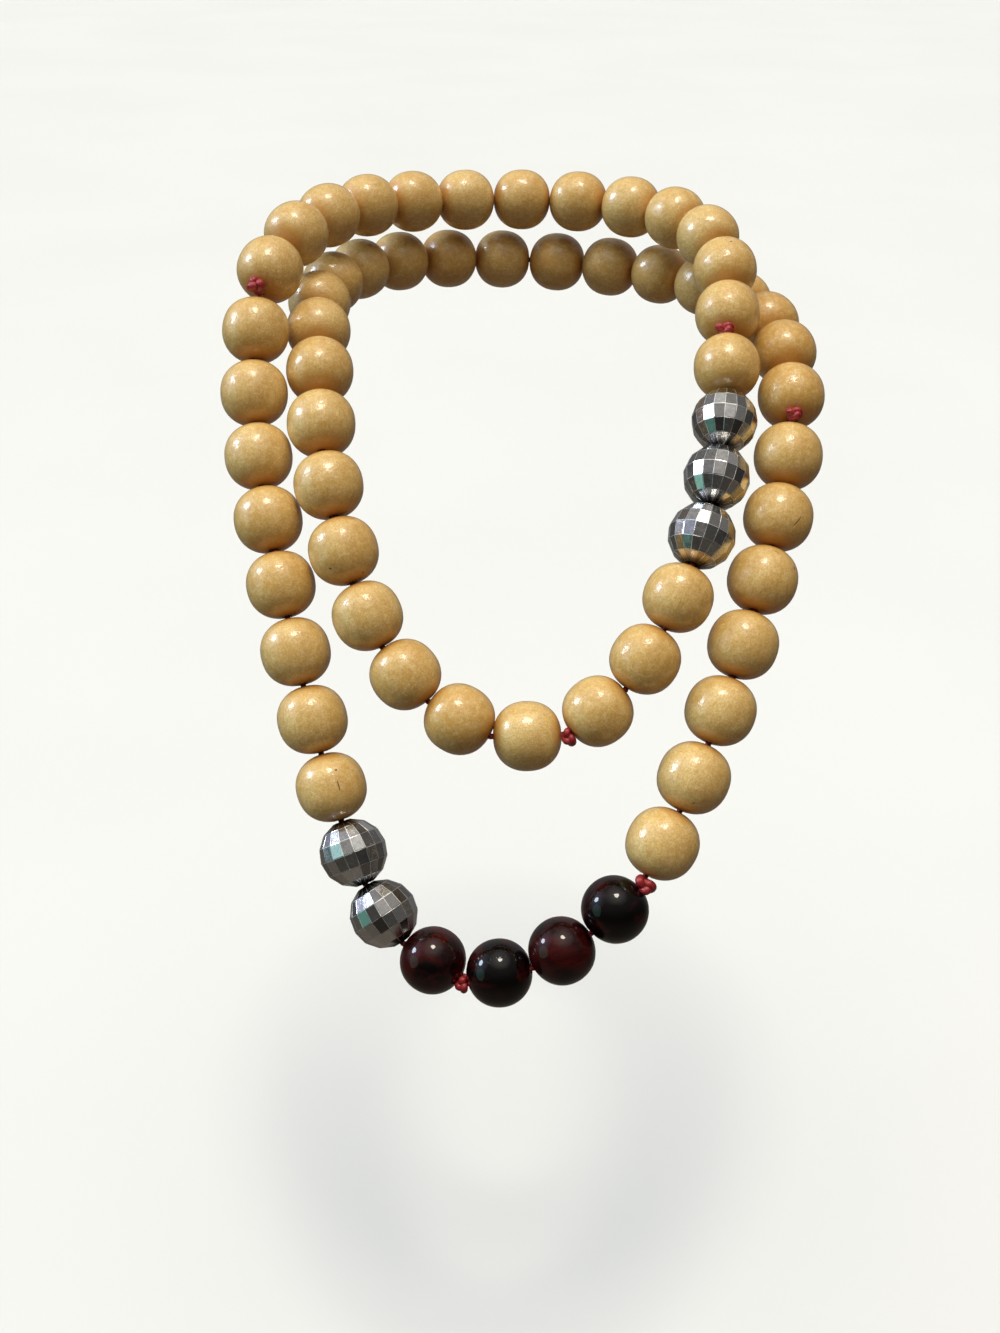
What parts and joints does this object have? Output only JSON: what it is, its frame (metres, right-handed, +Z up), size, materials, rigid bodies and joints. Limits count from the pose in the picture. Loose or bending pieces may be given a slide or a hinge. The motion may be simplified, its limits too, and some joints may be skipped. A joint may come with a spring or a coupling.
{
  "type": "beaded necklace",
  "caption": "Long necklace of round lacquered wooden beads with dark and mirror-faceted accents on an endless knotted red cord, worn in layered turns round the neck.",
  "frame": {"origin": "on the axis of the wearer's neck, level with the upper turn of beads at the nape", "axes": "+Z up along the neck, -Y to the wearer's front where the two drops hang, +X to the viewer's right"},
  "size_m": [0.18, 0.2309, 0.1921],
  "materials": {
    "cream_wood": "glossy lacquer",
    "dark_wood": "glossy lacquer",
    "silver_facet": "mirror facets",
    "red_cord": "shiny nylon"
  },
  "bodies": {
    "root": {"inner_cord": "red_cord", "inner_cream_bead_1": "cream_wood", "inner_cream_bead_10": "cream_wood", "inner_cream_bead_11": "cream_wood", "inner_cream_bead_12": "cream_wood", "inner_cream_bead_13": "cream_wood", "inner_cream_bead_14": "cream_wood", "inner_cream_bead_2": "cream_wood", "inner_cream_bead_3": "cream_wood", "inner_cream_bead_4": "cream_wood", "inner_cream_bead_5": "cream_wood", "inner_cream_bead_6": "cream_wood", "inner_cream_bead_7": "cream_wood", "inner_cream_bead_8": "cream_wood", "inner_cream_bead_9": "cream_wood", "inner_knot_1": "red_cord", "inner_knot_2": "red_cord", "inner_silver_bead_1": "silver_facet", "inner_silver_bead_2": "silver_facet", "inner_silver_bead_3": "silver_facet", "lower_turn_left_beads": "cream_wood", "lower_turn_middle_beads": "cream_wood", "lower_turn_right_beads": "cream_wood", "outer_cord": "red_cord", "outer_cream_bead_1": "cream_wood", "outer_cream_bead_10": "cream_wood", "outer_cream_bead_11": "cream_wood", "outer_cream_bead_12": "cream_wood", "outer_cream_bead_13": "cream_wood", "outer_cream_bead_14": "cream_wood", "outer_cream_bead_15": "cream_wood", "outer_cream_bead_16": "cream_wood", "outer_cream_bead_17": "cream_wood", "outer_cream_bead_2": "cream_wood", "outer_cream_bead_3": "cream_wood", "outer_cream_bead_4": "cream_wood", "outer_cream_bead_5": "cream_wood", "outer_cream_bead_6": "cream_wood", "outer_cream_bead_7": "cream_wood", "outer_cream_bead_8": "cream_wood", "outer_cream_bead_9": "cream_wood", "outer_dark_bead_1": "dark_wood", "outer_dark_bead_2": "dark_wood", "outer_dark_bead_3": "dark_wood", "outer_dark_bead_4": "dark_wood", "outer_knot_1": "red_cord", "outer_knot_2": "red_cord", "outer_knot_3": "red_cord", "outer_knot_4": "red_cord", "outer_silver_bead_1": "silver_facet", "outer_silver_bead_2": "silver_facet", "upper_turn_left_beads": "cream_wood", "upper_turn_right_beads": "cream_wood"}
  },
  "joints": []
}
